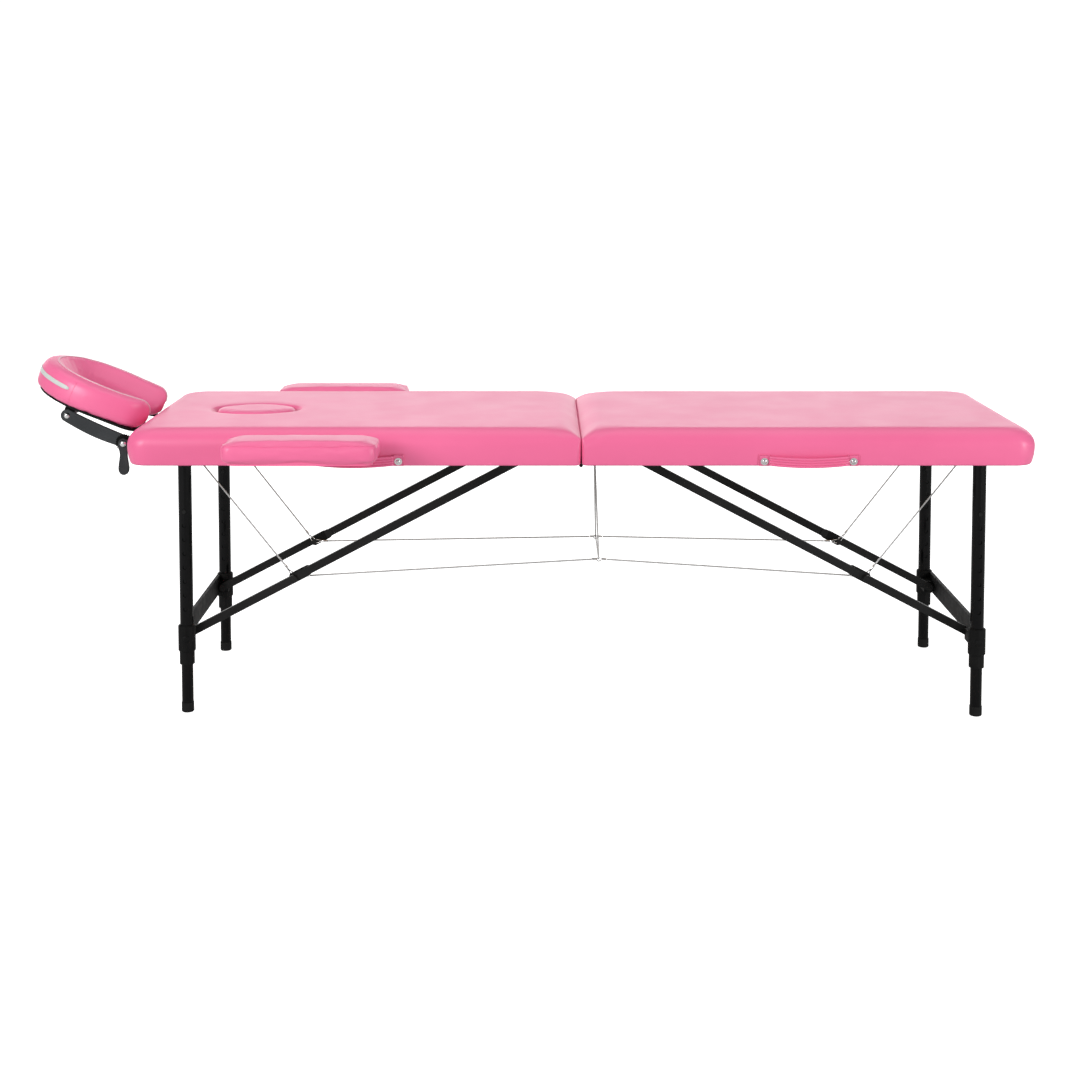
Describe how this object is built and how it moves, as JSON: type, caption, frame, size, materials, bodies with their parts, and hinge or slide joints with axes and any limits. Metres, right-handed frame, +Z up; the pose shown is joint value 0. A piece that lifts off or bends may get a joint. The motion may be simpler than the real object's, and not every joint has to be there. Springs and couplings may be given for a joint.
{
  "type": "portable massage table",
  "caption": "Folding aluminium massage table in two padded halves with height-adjustable legs, cable-braced struts, side armrests and a tilting horseshoe headrest.",
  "frame": {"origin": "on the floor below the middle of the outer box", "axes": "+X from the headrest towards the foot end, +Y from the handle side to the far side, +Z up"},
  "size_m": [2.106, 0.9, 0.7194],
  "materials": {
    "vinyl": "soft pink PVC upholstery with a fine grain",
    "strap_vinyl": "stitched pink PVC strap",
    "plywood": "raw birch plywood",
    "frame_aluminium": "mill finish",
    "dark_metal": "satin dark grey",
    "strut_metal": "satin dark grey anodised",
    "leg_black": "gloss black",
    "joint_plastic": "deep matte black moulding",
    "foot_rubber": "black rubber",
    "bright_steel": "bright plated steel",
    "cable_steel": "twisted steel cable in clear sleeve",
    "headrest_metal": "dark grey powder coat"
  },
  "bodies": {
    "head_panel": {"head_pad": "vinyl", "head_deck": "plywood", "head_frame": "frame_aluminium", "head_hinge_leaf": "frame_aluminium", "hinge_pin": "bright_steel", "head_leg_axle": "dark_metal", "head_strut_mount": "dark_metal", "head_handle": "strap_vinyl", "head_front_cable": "cable_steel", "head_rear_cable": "cable_steel"},
    "foot_panel": {"foot_pad": "vinyl", "foot_deck": "plywood", "foot_frame": "frame_aluminium", "foot_hinge_leaf": "frame_aluminium", "foot_leg_axle": "dark_metal", "foot_strut_mount": "dark_metal", "foot_handle": "strap_vinyl", "foot_front_cable": "cable_steel", "foot_rear_cable": "cable_steel", "middle_cable_loop": "cable_steel"},
    "head_legs": {"head_crossbar": "leg_black", "head_front_leg_tube": "leg_black", "head_front_leg_joint": "joint_plastic", "head_rear_leg_tube": "leg_black", "head_rear_leg_joint": "joint_plastic"},
    "head_upper_struts": {"head_front_upper_strut": "strut_metal", "head_rear_upper_strut": "strut_metal"},
    "head_lower_struts": {"head_front_lower_strut": "strut_metal", "head_rear_lower_strut": "strut_metal"},
    "head_front_extension": {"head_front_leg_extension": "leg_black", "head_front_foot": "foot_rubber"},
    "head_front_button": {"head_front_button": "bright_steel"},
    "head_rear_extension": {"head_rear_leg_extension": "leg_black", "head_rear_foot": "foot_rubber"},
    "head_rear_button": {"head_rear_button": "bright_steel"},
    "foot_legs": {"foot_crossbar": "leg_black", "foot_front_leg_tube": "leg_black", "foot_front_leg_joint": "joint_plastic", "foot_rear_leg_tube": "leg_black", "foot_rear_leg_joint": "joint_plastic"},
    "foot_upper_struts": {"foot_front_upper_strut": "strut_metal", "foot_rear_upper_strut": "strut_metal"},
    "foot_lower_struts": {"foot_front_lower_strut": "strut_metal", "foot_rear_lower_strut": "strut_metal"},
    "foot_front_extension": {"foot_front_leg_extension": "leg_black", "foot_front_foot": "foot_rubber"},
    "foot_front_button": {"foot_front_button": "bright_steel"},
    "foot_rear_extension": {"foot_rear_leg_extension": "leg_black", "foot_rear_foot": "foot_rubber"},
    "foot_rear_button": {"foot_rear_button": "bright_steel"},
    "headrest_slider": {"headrest_slider": "headrest_metal"},
    "headrest_arm": {"headrest_arm": "headrest_metal"},
    "headrest_platform": {"headrest_platform": "joint_plastic", "headrest_cushion": "vinyl"},
    "headrest_lever": {"headrest_lever": "joint_plastic"},
    "front_armrest": {"front_armrest_pad": "vinyl", "front_armrest_base": "joint_plastic"},
    "rear_armrest": {"rear_armrest_pad": "vinyl", "rear_armrest_base": "joint_plastic"},
    "face_hole_plug": {"face_hole_plug": "vinyl"}
  },
  "joints": [
    {"name": "centre_fold", "type": "hinge", "parent": "head_panel", "child": "foot_panel", "pos_m": [0.12301, 0, 0.5265], "axis": [0, 1, 0], "range_deg": [0, 180], "deforming": ["head_front_cable", "head_rear_cable", "foot_front_cable", "foot_rear_cable", "middle_cable_loop"]},
    {"name": "head_leg_fold", "type": "hinge", "parent": "head_panel", "child": "head_legs", "pos_m": [-0.69699, 0, 0.55], "axis": [0, -1, 0], "range_deg": [0, 90]},
    {"name": "head_upper_strut_fold", "type": "hinge", "parent": "head_panel", "child": "head_upper_struts", "pos_m": [0.05101, 0, 0.55], "axis": [0, 1, 0], "range_deg": [0, 27.72]},
    {"name": "head_lower_strut_fold", "type": "hinge", "parent": "head_legs", "child": "head_lower_struts", "pos_m": [-0.69699, 0, 0.157], "axis": [0, -1, 0], "range_deg": [0, 62.28]},
    {"name": "head_front_leg_height", "type": "slide", "parent": "head_legs", "child": "head_front_extension", "axis": [0, 0, -1], "range_m": [0, 0.2051], "deforming": ["head_front_button"]},
    {"name": "head_front_button_press", "type": "slide", "parent": "head_front_extension", "child": "head_front_button", "axis": [0, 1, 0], "range_m": [0, 0.0035], "stiffness_N_per_m": 400, "springref_m": -0.001},
    {"name": "head_rear_leg_height", "type": "slide", "parent": "head_legs", "child": "head_rear_extension", "axis": [0, 0, -1], "range_m": [0, 0.2051], "deforming": ["head_rear_button"]},
    {"name": "head_rear_button_press", "type": "slide", "parent": "head_rear_extension", "child": "head_rear_button", "axis": [0, 1, 0], "range_m": [0, 0.0035], "stiffness_N_per_m": 400, "springref_m": -0.001},
    {"name": "foot_leg_fold", "type": "hinge", "parent": "foot_panel", "child": "foot_legs", "pos_m": [0.94301, 0, 0.55], "axis": [0, 1, 0], "range_deg": [0, 90]},
    {"name": "foot_upper_strut_fold", "type": "hinge", "parent": "foot_panel", "child": "foot_upper_struts", "pos_m": [0.19501, 0, 0.55], "axis": [0, -1, 0], "range_deg": [0, 27.72]},
    {"name": "foot_lower_strut_fold", "type": "hinge", "parent": "foot_legs", "child": "foot_lower_struts", "pos_m": [0.94301, 0, 0.157], "axis": [0, 1, 0], "range_deg": [0, 62.28]},
    {"name": "foot_front_leg_height", "type": "slide", "parent": "foot_legs", "child": "foot_front_extension", "axis": [0, 0, -1], "range_m": [0, 0.2051], "deforming": ["foot_front_button"]},
    {"name": "foot_front_button_press", "type": "slide", "parent": "foot_front_extension", "child": "foot_front_button", "axis": [0, 1, 0], "range_m": [0, 0.0035], "stiffness_N_per_m": 400, "springref_m": -0.001},
    {"name": "foot_rear_leg_height", "type": "slide", "parent": "foot_legs", "child": "foot_rear_extension", "axis": [0, 0, -1], "range_m": [0, 0.2051], "deforming": ["foot_rear_button"]},
    {"name": "foot_rear_button_press", "type": "slide", "parent": "foot_rear_extension", "child": "foot_rear_button", "axis": [0, 1, 0], "range_m": [0, 0.0035], "stiffness_N_per_m": 400, "springref_m": -0.001},
    {"name": "headrest_pull_out", "type": "slide", "parent": "head_panel", "child": "headrest_slider", "axis": [-1, 0, 0], "range_m": [0, 0.045]},
    {"name": "headrest_arm_tilt", "type": "hinge", "parent": "headrest_slider", "child": "headrest_arm", "pos_m": [-0.84999, 0, 0.545], "axis": [0, -1, 0], "range_deg": [0, 35]},
    {"name": "headrest_platform_tilt", "type": "hinge", "parent": "headrest_arm", "child": "headrest_platform", "pos_m": [-0.97499, 0, 0.602], "axis": [0, -1, 0], "range_deg": [0, 30]},
    {"name": "headrest_lever_turn", "type": "hinge", "parent": "headrest_slider", "child": "headrest_lever", "pos_m": [-0.84999, -0.111, 0.545], "axis": [0, 1, 0], "range_deg": [0, 90]},
    {"name": "front_armrest_pull_out", "type": "slide", "parent": "head_panel", "child": "front_armrest", "axis": [0, -1, 0], "range_m": [0, 0.03]},
    {"name": "rear_armrest_pull_out", "type": "slide", "parent": "head_panel", "child": "rear_armrest", "axis": [0, 1, 0], "range_m": [0, 0.03]},
    {"name": "face_hole_plug_lift", "type": "slide", "parent": "head_panel", "child": "face_hole_plug", "axis": [0, 0, 1], "range_m": [0, 0.06]}
  ],
  "couplings": [
    {"joint": "head_leg_fold", "follows": "centre_fold", "ratio": 0.5},
    {"joint": "head_upper_strut_fold", "follows": "centre_fold", "ratio": 0.15399},
    {"joint": "head_lower_strut_fold", "follows": "centre_fold", "ratio": 0.34601},
    {"joint": "foot_leg_fold", "follows": "centre_fold", "ratio": 0.5},
    {"joint": "foot_upper_strut_fold", "follows": "centre_fold", "ratio": 0.15399},
    {"joint": "foot_lower_strut_fold", "follows": "centre_fold", "ratio": 0.34601}
  ]
}
